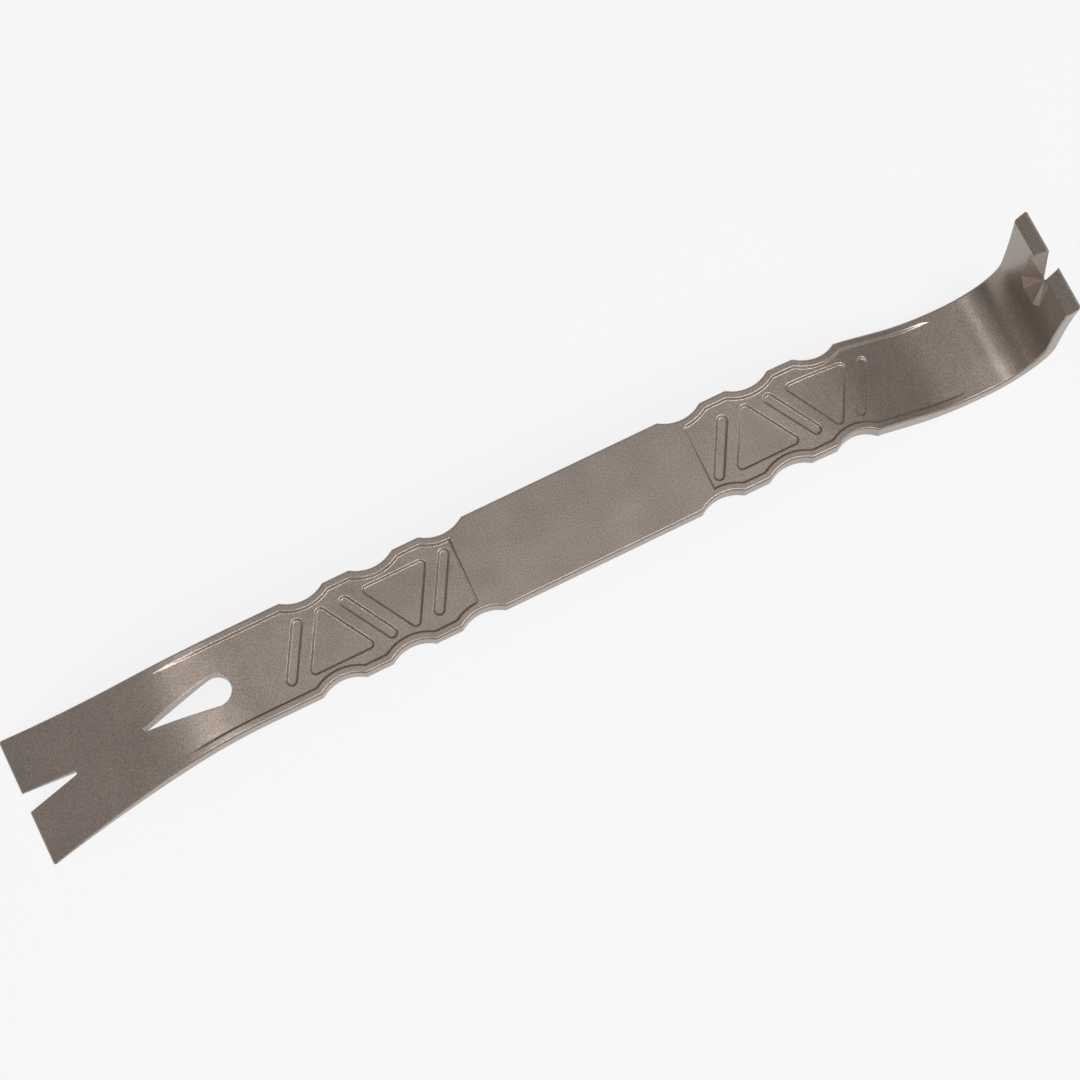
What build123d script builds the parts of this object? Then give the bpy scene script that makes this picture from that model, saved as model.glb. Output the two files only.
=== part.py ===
from build123d import *
import os
from math import acos, asin, atan2, cos, degrees, hypot, radians, sin, sqrt, tan

# A forged flat pry bar: a thin slotted blade, a level shank with two ribbed
# grips and a plain panel between them, then a goose neck and an upright claw.
# X runs along the bar towards the claw, Y across it, Z up. The origin is the
# middle of the length, on the ground under the blade tip and the heel.

# ---- driving dimensions, mm --------------------------------------------------
# whole bar
overall_length = 378.0
shank_width = 33.9
shank_thickness = 7.0
ground_clearance = 24.5      # underside of the level shank above the ground
edge_break = 0.5             # along the outer edges

# blade
blade_reach = 84.8           # tip back to where the blade starts to curve
blade_bend_radius = 90.0     # top face of the curve
blade_tip_width = 46.4
blade_tip_thickness = 1.3
tip_corner_radius = 0.8
slot_mouth = 7.1             # nail slot in the tip
slot_depth = 20.0
slot_end_radius = 0.8

# teardrop nail hole
hole_radius = 5.4
hole_tail_radius = 0.8
hole_tail_length = 25.9      # centre to centre
hole_from_tip = 73.1         # tip back to the centre of the round end

# grips
scallop_pitch = 25.4
scallop_chord = 15.7
scallop_depth = 2.55
scallop_corner = 1.2
scallops_per_grip = 3
scallop_start = 1.1          # panel end to the middle of the first scallop
rim_width = 2.65
recess_depth = 0.9
blade_fade = 28.0            # length over which the rims run out onto the blade

# plain panel between the grips
tip_to_panel = 163.7         # length of the blade and its grip
panel_to_back = 128.0        # length of the other grip, the neck and the claw

# truss pockets in the floor of each grip
truss_pitch = 13.4
truss_start = 8.45           # panel end to the first strut
truss_height = 19.8
strut_width = 3.4
strut_lean = 30.0            # from straight across the bar, degrees
pocket_depth = 0.8
pocket_corner = 1.6

# goose neck and heel
neck_length = 93.5           # start of the neck to the back of the claw
neck_radius = 60.0           # top face, turning down
sole_radius = 46.0           # top face, turning level again
throat_radius = 20.0         # inside corner between the heel and the claw
fade_radius = 39.0           # grip floor, rising to the top face before the heel

# claw
claw_height = 67.3           # above the ground
claw_thickness = 4.3
claw_tip_width = 37.2
claw_bevel = 3.3             # height of the bevel inside the tip
claw_land = 0.5              # flat left along the very edge
notch_mouth = 6.6
notch_depth = 19.6
notch_end_radius = 0.5
countersink_width = 12.2     # bevelled sides of the notch, on the inner face
countersink_top = 7.4        # below the tip, where the bevel is at full width
countersink_base = 26.2      # below the tip, where its sides turn in
countersink_foot = 31.0      # below the tip, where they meet

# ---- places worked out from them ---------------------------------------------
tip_x = -overall_length / 2
back_x = overall_length / 2
claw_face_x = back_x - claw_thickness
top_z = ground_clearance + shank_thickness
half_width = shank_width / 2
panel_ends = (tip_x + tip_to_panel, back_x - panel_to_back)
panel_middle = sum(panel_ends) / 2
half_panel = panel_ends[1] - panel_middle
far = overall_length                 # past everything, for cutters

blade_start = (tip_x + blade_reach, top_z - blade_bend_radius)
neck = (back_x - neck_length, top_z - neck_radius)
heel_x = claw_face_x - throat_radius
heel_radius = back_x - heel_x
sole = (heel_x, shank_thickness + sole_radius)
throat = (heel_x, shank_thickness + throat_radius)
heel = (heel_x, heel_radius)


def polar(centre, radius, angle):
    return (centre[0] + radius * cos(radians(angle)), centre[1] + radius * sin(radians(angle)))


def arc(centre, radius, start, end):
    middle = (start + end) / 2
    return ThreePointArc(*[polar(centre, radius, turn) for turn in (start, middle, end)])


def backwards(curve):
    return ThreePointArc(curve @ 1, curve @ 0.5, curve @ 0)


def outline(*pieces):
    """Closes arcs and points, in order, into a face with straight lines between."""
    edges = []
    ends = []
    for piece in pieces:
        ends.append((Vector(*piece), Vector(*piece)) if isinstance(piece, tuple) else (piece @ 0, piece @ 1))
        if not isinstance(piece, tuple):
            edges.append(piece)
    for (_, here), (there, _) in zip(ends, ends[1:] + ends[:1]):
        if (there - here).length > 1e-6:
            edges.append(Line(here, there))
    return make_face(edges)


def across(face):
    """A side view made solid right across the bar."""
    return extrude(Plane.XZ * face, amount=blade_tip_width, both=True)


# ---- side view ---------------------------------------------------------------
def blade_turn(radius, tip_z):
    """Turn of an edge of the blade, from level shank to a tip at tip_z."""
    rise = tip_z - blade_start[1]
    return degrees(atan2(blade_reach, rise) - acos(radius / hypot(blade_reach, rise)))


def neck_turn():
    """Slope of the goose neck between its two bends."""
    run = sole[0] - neck[0]
    rise = sole[1] - neck[1]
    return degrees(atan2(run, rise) - acos((neck_radius + sole_radius) / hypot(run, rise)))


def shank_arcs(depth):
    """Goose-neck arcs of a line that lies depth below the top face."""
    turn = neck_turn()
    down = arc(neck, neck_radius - depth, 90, 90 - turn)
    level = arc(sole, sole_radius + depth, 270 - turn, 270)
    return down, level


def side_view():
    under_radius = blade_bend_radius - shank_thickness
    top_turn = blade_turn(blade_bend_radius, blade_tip_thickness)
    under_turn = blade_turn(under_radius, 0)
    neck_top, sole_top = shank_arcs(0)
    neck_under, sole_under = [backwards(piece) for piece in shank_arcs(shank_thickness)]
    return outline(
        (tip_x, blade_tip_thickness),
        arc(blade_start, blade_bend_radius, 90 + top_turn, 90),
        neck_top,
        sole_top,
        arc(throat, throat_radius, 270, 360),
        (claw_face_x, claw_height - claw_bevel),
        (back_x - claw_land, claw_height),
        (back_x, claw_height),
        arc(heel, heel_radius, 360, 270),
        sole_under,
        neck_under,
        arc(blade_start, under_radius, 90, 90 + under_turn),
        (tip_x, 0),
    )


# ---- plan view ---------------------------------------------------------------
def flare_radius(reach, spread):
    return (reach**2 + spread**2) / (2 * spread)


def scallop_cuts(inset):
    """Discs that bite the finger scallops out of both long sides."""
    radius = flare_radius(scallop_chord / 2, scallop_depth)
    discs = []
    for end in (-1, 1):
        for number in range(scallops_per_grip):
            x = panel_middle + end * (half_panel + scallop_start + number * scallop_pitch)
            for side in (-1, 1):
                y = side * (half_width - scallop_depth + radius)
                discs.append(Pos(x, y) * Circle(radius + inset))
    return discs


def plan_view(inset=0):
    """Outline seen from above, shrunk by inset, as far as the heel."""
    radius = flare_radius(blade_reach, blade_tip_width / 2 - half_width)
    side = half_width - inset
    flare = degrees(asin(blade_reach / radius))
    upper = arc((blade_start[0], half_width + radius), radius + inset, 270 - flare, 270)
    lower = arc((blade_start[0], -half_width - radius), radius + inset, 90, 90 + flare)
    body = outline(upper, (heel_x, side), (heel_x, -side), lower)
    corners = body.vertices().filter_by_position(Axis.X, tip_x - 1, tip_x + 1)
    body = fillet(corners, tip_corner_radius) - scallop_cuts(inset)
    kinks = [
        corner
        for corner in body.vertices().filter_by_position(Axis.X, blade_start[0] + 1, heel_x - 1)
        if abs(abs(corner.Y) - side) < 0.001
    ]
    return fillet(kinks, scallop_corner)


def claw_view(inset=0):
    """Outline of the claw seen along the bar, in Y and Z."""
    reach = claw_height - throat[1]
    radius = flare_radius(reach, claw_tip_width / 2 - half_width)
    side = half_width - inset
    flare = degrees(asin(reach / radius))
    right = arc((half_width + radius, throat[1]), radius + inset, 180, 180 - flare)
    left = arc((-half_width - radius, throat[1]), radius + inset, flare, 0)
    return outline((side, -far), right, left, (-side, -far))


def straight(edge, direction):
    return edge.geom_type == GeomType.LINE and abs((edge % 0.5).dot(direction)) > 0.99


def trimmed(solid, inset=0):
    """Keeps what lies inside both outlines."""
    plan = extrude(plan_view(inset), amount=far, both=True)
    front = Plane(origin=(heel_x, 0, 0), x_dir=(0, 1, 0), z_dir=(1, 0, 0)) * claw_view(inset)
    return (solid & plan) + (solid & extrude(front, amount=far))


# ---- recessed grips ----------------------------------------------------------
def grip_floor(depth, below=False):
    """Side view of what is cleared over a grip floor that lies depth inside the bar.

    One region for each grip. The floors run out into the curve of the blade and
    at the foot of the neck, where they rise to meet the face before the heel.
    """
    face_radius = blade_bend_radius - (shank_thickness if below else 0)
    sign = -1 if below else 1
    level = (ground_clearance + depth) if below else (top_z - depth)
    clear = -far if below else far
    sag = face_radius - sqrt(face_radius**2 - blade_fade**2)
    runout = flare_radius(blade_fade, sag - sign * depth)
    turn = 1.15 * degrees(asin(blade_fade / runout))

    blade_arc = arc((blade_start[0], level - runout), runout, 90 + turn, 90)
    blade_side = outline(
        ((blade_arc @ 0).X, clear),
        blade_arc,
        (panel_ends[0], level),
        (panel_ends[0], clear),
    )

    down, flat = shank_arcs(shank_thickness - depth if below else depth)
    if below:
        slope = flat % 0
        run = flat @ 0 + slope * sole_radius / 2
        finish = [(run.X, run.Y)]
    else:
        foot = flat @ 0
        turn = neck_turn()
        rise = polar((foot.X, foot.Y), fade_radius, 90 - turn)
        finish = [arc(rise, fade_radius, 270 - turn, 276)]
        run = finish[0] @ 1
    claw_side = outline(
        (panel_ends[1], clear),
        (panel_ends[1], level),
        down,
        *finish,
        (run.X, clear),
    )
    return blade_side, claw_side


def strut(lean):
    length = (truss_height - strut_width) / cos(radians(strut_lean))
    return Rot(0, 0, 90 - lean) * SlotCenterToCenter(length, strut_width)


def triangle(point_up):
    height = truss_height + pocket_corner
    half_base = height * tan(radians(strut_lean))
    foot = -truss_height / 2
    shape = make_face(Polyline((-half_base, foot), (half_base, foot), (0, foot + height), close=True))
    shape = fillet(shape.vertices(), pocket_corner)
    return shape if point_up else Rot(0, 0, 180) * shape


def truss():
    """The five pockets of the claw-side grip, from the panel outwards."""
    row = [strut(strut_lean), triangle(True), strut(-strut_lean), triangle(False), strut(strut_lean)]
    first = half_panel + truss_start
    return [Pos(first + number * truss_pitch, 0) * shape for number, shape in enumerate(row)]


def grip_cutters(below=False):
    """The two grip recesses with their truss pockets, for one face of the bar."""
    cutters = []
    floors = grip_floor(recess_depth, below)
    pocket_floors = grip_floor(recess_depth + pocket_depth, below)
    inner_plan = extrude(plan_view(rim_width), amount=far, both=True)
    for turn, floor, pocket_floor in zip((180, 0), floors, pocket_floors):
        recess = across(floor) & inner_plan
        deep = across(pocket_floor)
        for shape in truss():
            prism = extrude(Pos(panel_middle, 0) * Rot(0, 0, turn) * shape, amount=far, both=True)
            recess += deep & prism
        cutters.append(recess)
    return cutters


# ---- holes -------------------------------------------------------------------
def teardrop():
    """Two discs of different size and their common tangents, point to the blade."""
    big = tip_x + hole_from_tip
    small = big - hole_tail_length
    lean = degrees(asin((hole_radius - hole_tail_radius) / hole_tail_length))
    return outline(
        arc((big, 0), hole_radius, 90 + lean, -90 - lean),
        arc((small, 0), hole_tail_radius, -90 - lean, -270 + lean),
    )


def notch(mouth, depth, end_radius):
    """V notch that opens at the origin and runs along +X to a round end."""
    reach = depth - end_radius
    lean = degrees(atan2(mouth / 2, reach) - asin(end_radius / hypot(reach, mouth / 2)))
    over = mouth
    spread = mouth / 2 + over * tan(radians(lean))
    return outline(
        (-over, spread),
        (-over, -spread),
        arc((reach, 0), end_radius, lean - 90, 90 - lean),
    )


def countersink():
    """Bevelled sides and foot of the claw notch: every facet runs to the notch edge."""
    def inner(across_y, below_tip):
        return [Vector(claw_face_x, side * across_y / 2, claw_height - below_tip) for side in (1, -1)]

    lip = inner(notch_mouth, -1)
    shoulder = inner(countersink_width, countersink_top)
    turn_in = inner(countersink_width, countersink_base)
    foot = inner(countersink_width / 2, countersink_foot)
    mouth = [Vector(back_x, point.Y, point.Z) for point in lip]
    apex = Vector(back_x, 0, claw_height - notch_depth)
    loops = [
        lip[:1] + shoulder[:1] + turn_in[:1] + foot + turn_in[1:] + shoulder[1:] + lip[1:],
        mouth + [apex],
        lip + mouth[::-1],
        foot + [apex],
    ]
    for side in (0, 1):
        loops += [
            [lip[side], shoulder[side], mouth[side]],
            [mouth[side], shoulder[side], apex],
            [shoulder[side], turn_in[side], apex],
            [turn_in[side], foot[side], apex],
        ]
    return Solid(Shell([Face(Wire.make_polygon(loop)) for loop in loops]))


def hole_cutters():
    blade_slot = Pos(tip_x, 0) * notch(slot_mouth, slot_depth, slot_end_radius)
    cutters = [extrude(shape, amount=far, both=True) for shape in (teardrop(), blade_slot)]
    claw = Plane(origin=(back_x, 0, claw_height), x_dir=(0, 0, -1), z_dir=(1, 0, 0))
    claw_notch = claw * notch(notch_mouth, notch_depth, notch_end_radius)
    return cutters + [extrude(claw_notch, amount=2 * claw_thickness, both=True), countersink()]


# ---- build -------------------------------------------------------------------
def blank():
    """The whole bar before anything is cut into it, its long edges broken."""
    bar = trimmed(across(side_view()))
    long_edges = [
        edge
        for edge in bar.edges()
        if edge.center().Z < claw_height - claw_bevel
        and not straight(edge, Vector(0, 1, 0))
        and not straight(edge, Vector(0, 0, 1))
    ]
    return chamfer(long_edges, edge_break)


def build():
    bar = blank()
    for below in (False, True):
        for cutter in grip_cutters(below):
            bar -= cutter
    for cutter in hole_cutters():
        bar -= cutter
    return bar


if __name__ == "__main__":
    os.makedirs("parts", exist_ok=True)
    forged_bar = build()
    forged_bar.label = "forged_bar"
    export_step(forged_bar, "parts/forged_bar.step")
    print("volume", forged_bar.volume, "solids", len(forged_bar.solids()), forged_bar.bounding_box())
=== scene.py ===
from math import cos, radians, sin

import bpy
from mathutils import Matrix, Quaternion, Vector


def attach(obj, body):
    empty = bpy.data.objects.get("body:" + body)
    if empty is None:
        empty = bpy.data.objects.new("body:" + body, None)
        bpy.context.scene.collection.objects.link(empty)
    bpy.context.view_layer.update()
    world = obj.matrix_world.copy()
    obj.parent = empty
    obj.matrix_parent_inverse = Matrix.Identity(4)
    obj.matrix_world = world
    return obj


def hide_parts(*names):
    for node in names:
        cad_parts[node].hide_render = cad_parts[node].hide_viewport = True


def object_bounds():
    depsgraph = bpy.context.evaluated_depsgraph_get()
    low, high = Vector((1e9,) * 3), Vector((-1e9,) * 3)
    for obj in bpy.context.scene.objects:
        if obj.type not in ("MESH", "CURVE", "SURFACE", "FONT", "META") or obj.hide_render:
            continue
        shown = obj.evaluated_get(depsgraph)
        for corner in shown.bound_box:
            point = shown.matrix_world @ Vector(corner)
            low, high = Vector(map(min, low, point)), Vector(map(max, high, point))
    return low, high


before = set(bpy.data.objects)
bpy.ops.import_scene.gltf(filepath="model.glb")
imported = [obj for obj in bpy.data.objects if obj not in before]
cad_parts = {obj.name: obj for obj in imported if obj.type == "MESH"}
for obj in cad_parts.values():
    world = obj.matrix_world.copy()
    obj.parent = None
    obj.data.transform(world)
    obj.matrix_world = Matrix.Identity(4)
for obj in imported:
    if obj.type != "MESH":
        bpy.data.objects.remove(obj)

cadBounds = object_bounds()


# camera first, so that everything else can be looked at through it
cameraSetup = {
    "aim": (0.00144, -0.0019, 0.0315),
    "distance": 0.9904,
    "azimuth": -114.10,
    "elevation": 75.54,
    "roll": -2.19,
    "lens": 100,
    "sensor": 36,
    "clipStart": 0.01,
}


def deselectAll():
    bpy.ops.object.select_all(action="DESELECT")


def towards(azimuth, elevation):
    flat = cos(radians(elevation))
    return Vector((flat * cos(radians(azimuth)), flat * sin(radians(azimuth)), sin(radians(elevation))))


def makeCamera(setup):
    away = towards(setup["azimuth"], setup["elevation"])
    turn = (-away).to_track_quat("-Z", "Y") @ Quaternion((0, 0, 1), radians(setup["roll"]))
    bpy.ops.object.camera_add(location=Vector(setup["aim"]) + away * setup["distance"])
    camera = bpy.context.object
    camera.name = "tableCamera"
    camera.rotation_euler = turn.to_euler()
    camera.data.lens = setup["lens"]
    camera.data.sensor_width = setup["sensor"]
    camera.data.clip_start = setup["clipStart"]
    bpy.context.scene.camera = camera


deselectAll()
makeCamera(cameraSetup)
print("camera placed")


# shader maths: a socket that can be added, multiplied and so on
class Socket:
    def __init__(self, tree, out):
        self.tree = tree
        self.out = out

    def node(self, kind, inputs, output=0, **settings):
        made = self.tree.nodes.new(kind)
        for name, value in settings.items():
            setattr(made, name, value)
        for key, value in inputs.items():
            if isinstance(value, Socket):
                self.tree.links.new(value.out, made.inputs[key])
            else:
                made.inputs[key].default_value = value
        return Socket(self.tree, made.outputs[output])

    def maths(self, operation, first, second):
        return self.node("ShaderNodeMath", {0: first, 1: second}, operation=operation)

    def __add__(self, other):
        return self.maths("ADD", self, other)

    def __radd__(self, other):
        return self.maths("ADD", other, self)

    def __sub__(self, other):
        return self.maths("SUBTRACT", self, other)

    def __mul__(self, other):
        return self.maths("MULTIPLY", self, other)


def newMaterial(name):
    material = bpy.data.materials.new(name)
    material.use_nodes = True
    tree = material.node_tree
    tree.nodes.clear()
    coords = tree.nodes.new("ShaderNodeTexCoord")
    output = tree.nodes.new("ShaderNodeOutputMaterial")
    place = Socket(tree, coords.outputs["Object"])
    return material, place, output


# the bar: the forged shape, its pocket and rim walls given the draft they left the die with
# lengths in metres, creases and walls told apart in degrees, tilts as the upright share of a normal
barShape = {
    "samePlace": 0.000002,
    "footIn": 0.00045,
    "lipOut": 0.00035,
    "draftFrom": -0.1295,
    "draftUntil": 0.160,
    "wallTilt": 0.3,
    "floorTilt": 0.75,
    "softCrease": 9,
    "sameWall": 25,
}


def cornersByPlace(mesh, samePlace):
    places = {}
    for loop in mesh.loops:
        spot = mesh.vertices[loop.vertex_index].co
        places.setdefault(tuple(round(value / samePlace) for value in spot), []).append(loop.index)
    return list(places.values())


# where the edge of one wall, or of two that meet, moves for a run of one
def wallDirection(normals, sameWall):
    walls = []
    for normal in normals:
        if not any(normal.dot(wall) > cos(radians(sameWall)) for wall in walls):
            walls.append(normal)
    if len(walls) == 1:
        return walls[0]
    if len(walls) == 2:
        return (walls[0] + walls[1]) / (1 + walls[0].dot(walls[1]))
    return Vector((0, 0, 0))


# every recessed wall gets its slope: its foot moves in over the floor and its lip moves out
def draftWalls(mesh, shape):
    normals = [corner.vector.copy() for corner in mesh.corner_normals]
    faceOf = [face.index for face in mesh.polygons for number in face.loop_indices]
    centres = [face.center.copy() for face in mesh.polygons]
    edges = []
    recessed = set()
    for group in cornersByPlace(mesh, shape["samePlace"]):
        spot = mesh.vertices[mesh.loops[group[0]].vertex_index].co
        walls = [number for number in group if abs(normals[number].z) < shape["wallTilt"]]
        levels = [number for number in group if abs(normals[number].z) > shape["floorTilt"]]
        if not walls or not levels or not shape["draftFrom"] < spot.x < shape["draftUntil"]:
            continue
        way = wallDirection([normals[number] for number in walls], shape["sameWall"])
        foot = sum((centres[faceOf[number]] - spot).dot(way) for number in levels) > 0
        edges.append((group, walls, normals[levels[0]], way, foot))
        if foot:
            recessed.update(faceOf[number] for number in walls)
    moves = {}
    for group, walls, level, way, foot in edges:
        if not any(faceOf[number] in recessed for number in walls):
            continue
        step = way * (shape["footIn"] if foot else -shape["lipOut"])
        step.z -= step.dot(level) / level.z
        for number in group:
            moves[mesh.loops[number].vertex_index] = step
    for number, step in moves.items():
        mesh.vertices[number].co += step
    mesh.update()
    for number in sorted(recessed):
        face = mesh.polygons[number]
        tilt = face.normal.z
        for corner in face.loop_indices:
            flat = Vector((normals[corner].x, normals[corner].y, 0)).normalized()
            normals[corner] = flat * (1 - tilt * tilt) ** 0.5 + Vector((0, 0, tilt))
    return normals


# one normal for all the faces that meet at less than a soft crease
def blendCreases(mesh, normals, shape):
    limit = cos(radians(shape["softCrease"]))
    blended = list(normals)
    for group in cornersByPlace(mesh, shape["samePlace"]):
        for number in group:
            near = [normals[other] for other in group if normals[other].dot(normals[number]) > limit]
            blended[number] = sum(near, Vector()).normalized()
    mesh.normals_split_custom_set(blended)


def makeBar(shape):
    bar = bpy.data.objects.new("coated_bar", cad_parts["forged_bar"].data.copy())
    bpy.context.scene.collection.objects.link(bar)
    normals = draftWalls(bar.data, shape)
    blendCreases(bar.data, normals, shape)
    return bar


# powder coat: satin metallic taupe, fine metal flake in it, slight orange peel and forging waves
coatLook = {
    "flakeDark": (0.158, 0.129, 0.108, 1),
    "flakeLight": (0.378, 0.316, 0.273, 1),
    "flakeSize": 0.00042,
    "flakeDetail": 2.0,
    "flakeFrom": 0.32,
    "flakeTo": 0.68,
    "cloudSize": 0.016,
    "cloudDetail": 4.0,
    "cloudShare": 0.25,
    "metal": 0.75,
    "roughness": 0.30,
    "roughSpread": 0.10,
    "peelSize": 0.0022,
    "peelDetail": 2.0,
    "waveSize": 0.014,
    "waveDetail": 1.0,
    "heightUnit": 0.001,
    "flakeHeight": 0.009,
    "peelHeight": 0.02,
    "waveHeight": 0.17,
    "edgeRound": 0.0003,
    "edgeSamples": 16,
}


def makeCoat(look):
    material, place, output = newMaterial("powder_coat")

    def noise(kind):
        scale = 1 / look[kind + "Size"]
        detail = look[kind + "Detail"]
        return place.node("ShaderNodeTexNoise", {"Vector": place, "Scale": scale, "Detail": detail})

    flake = noise("flake")
    peel = noise("peel")
    wave = noise("wave")
    cloud = noise("cloud")
    speck = place.node(
        "ShaderNodeMapRange", {"Value": flake, "From Min": look["flakeFrom"], "From Max": look["flakeTo"]}
    )
    share = look["cloudShare"]
    # a colour mix has its factor at socket 0, its colours at 6 and 7 and its result at 2
    blend = place.node(
        "ShaderNodeMix",
        {0: speck * (1 - share) + cloud * share, 6: look["flakeDark"], 7: look["flakeLight"]},
        output=2,
        data_type="RGBA",
    )
    rounded = place.node("ShaderNodeBevel", {"Radius": look["edgeRound"]}, samples=look["edgeSamples"])
    height = flake * look["flakeHeight"] + peel * look["peelHeight"] + wave * look["waveHeight"]
    bump = place.node("ShaderNodeBump", {"Height": height, "Distance": look["heightUnit"], "Normal": rounded})
    shader = place.node(
        "ShaderNodeBsdfPrincipled",
        {
            "Base Color": blend,
            "Metallic": look["metal"],
            "Roughness": look["roughness"] + (cloud - 0.5) * look["roughSpread"],
            "Normal": bump,
        },
    )
    place.tree.links.new(shader.out, output.inputs["Surface"])
    return material


bar = makeBar(barShape)
bar.data.materials.clear()
bar.data.materials.append(makeCoat(coatLook))
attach(bar, "root")
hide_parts("forged_bar")
print("bar coated")


# pale floor: near white where it is seen, and it still takes the bar's soft shadow
floorLook = {
    "size": 6.0,
    "below": 0.0002,
    "colour": (0.8, 0.8, 0.8, 1),
    "shown": (0.905, 0.905, 0.905, 1),
    "shownShare": 0.95,
    "shownTo": ("Is Camera Ray", "Is Glossy Ray", "Is Transmission Ray"),
}


def makeFloor(look):
    deselectAll()
    height = cadBounds[0][2] - look["below"]
    bpy.ops.mesh.primitive_plane_add(size=look["size"], location=(0, 0, height))
    floor = bpy.context.object
    floor.name = "studioFloor"
    material, place, output = newMaterial("pale_floor")
    path = place.tree.nodes.new("ShaderNodeLightPath")
    seen = Socket(place.tree, path.outputs[look["shownTo"][0]])
    for ray in look["shownTo"][1:]:
        seen = place.maths("MAXIMUM", seen, Socket(place.tree, path.outputs[ray]))
    paint = place.node("ShaderNodeBsdfDiffuse", {"Color": look["colour"]})
    glow = place.node("ShaderNodeEmission", {"Color": look["shown"], "Strength": 1.0})
    mixed = place.node("ShaderNodeMixShader", {0: seen * look["shownShare"], 1: paint, 2: glow})
    place.tree.links.new(mixed.out, output.inputs["Surface"])
    floor.data.materials.append(material)


makeFloor(floorLook)
print("floor laid")


# soft studio light
lampSetup = {
    "bladeSoftbox": {"azimuth": 181, "elevation": 66.5, "distance": 1.6, "size": 0.4, "power": 4.4},
    "cornerSoftbox": {"azimuth": 208, "elevation": 56, "distance": 1.6, "size": 0.4, "power": 4.4},
    "frontSoftbox": {"azimuth": 262, "elevation": 47, "distance": 1.6, "size": 0.7, "power": 12.5},
    "clawSoftbox": {"azimuth": 313, "elevation": 52, "distance": 1.6, "size": 1.1, "power": 27.0},
    "topSoftbox": {"azimuth": 330, "elevation": 78, "distance": 1.6, "size": 0.5, "power": 2.6},
    "ceilingPanel": {"azimuth": 0, "elevation": 90, "distance": 1.8, "size": 7.0, "power": 32.0},
}
worldLook = {"colour": (1, 1, 1, 1), "strength": 0.08}


def makeLamp(name, setup):
    away = towards(setup["azimuth"], setup["elevation"])
    bpy.ops.object.light_add(type="AREA", location=away * setup["distance"])
    lamp = bpy.context.object
    lamp.name = name
    lamp.rotation_euler = (-away).to_track_quat("-Z", "Y").to_euler()
    lamp.data.shape = "DISK"
    lamp.data.size = setup["size"]
    lamp.data.energy = setup["power"]


def makeWorld(look):
    world = bpy.data.worlds.new("studio")
    bpy.context.scene.world = world
    world.use_nodes = True
    back = world.node_tree.nodes["Background"]
    back.inputs["Color"].default_value = look["colour"]
    back.inputs["Strength"].default_value = look["strength"]


for lampName, lamp in lampSetup.items():
    makeLamp(lampName, lamp)
makeWorld(worldLook)
bpy.context.scene.view_settings.view_transform = "Standard"
print("lights set")
